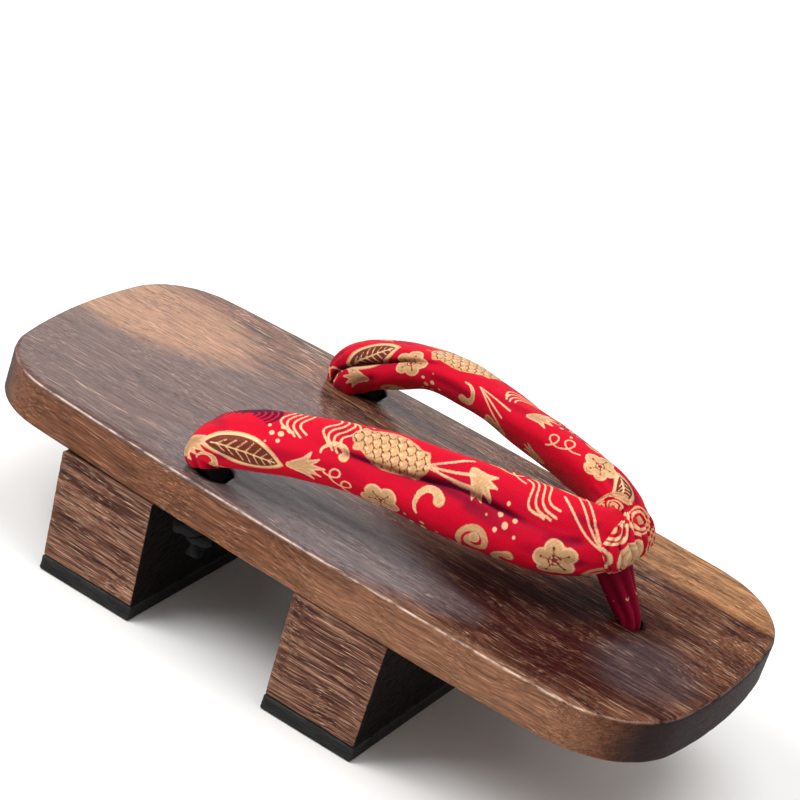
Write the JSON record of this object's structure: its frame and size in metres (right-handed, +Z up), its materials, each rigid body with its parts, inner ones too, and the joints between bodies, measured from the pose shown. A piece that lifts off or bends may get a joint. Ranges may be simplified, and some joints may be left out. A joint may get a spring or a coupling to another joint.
{
  "type": "geta sandal",
  "caption": "Wooden clog with a flat rounded deck on two crosswise teeth with rubber treads, and a padded cloth thong strap knotted through three holes.",
  "frame": {"origin": "on the floor, under the middle of the deck's length and width", "axes": "+X from heel to toe, +Y to the wearer's left, +Z up"},
  "size_m": [0.26, 0.1216, 0.098],
  "materials": {
    "deck_wood": "burnt and brushed, lacquered, half gloss",
    "tooth_wood": "burnt and coarsely brushed, satin",
    "tread_rubber": "matt",
    "strap_cloth": "printed cotton over soft padding",
    "thong_cloth": "gathered cotton",
    "black_cord": "twisted cord"
  },
  "bodies": {
    "root": {"deck": "deck_wood", "front_tooth": "tooth_wood", "rear_tooth": "tooth_wood", "front_tread": "tread_rubber", "rear_tread": "tread_rubber", "strap": "strap_cloth", "toe_thong": "thong_cloth", "knotted_cord_left": "black_cord", "knotted_cord_right": "black_cord"}
  },
  "joints": []
}
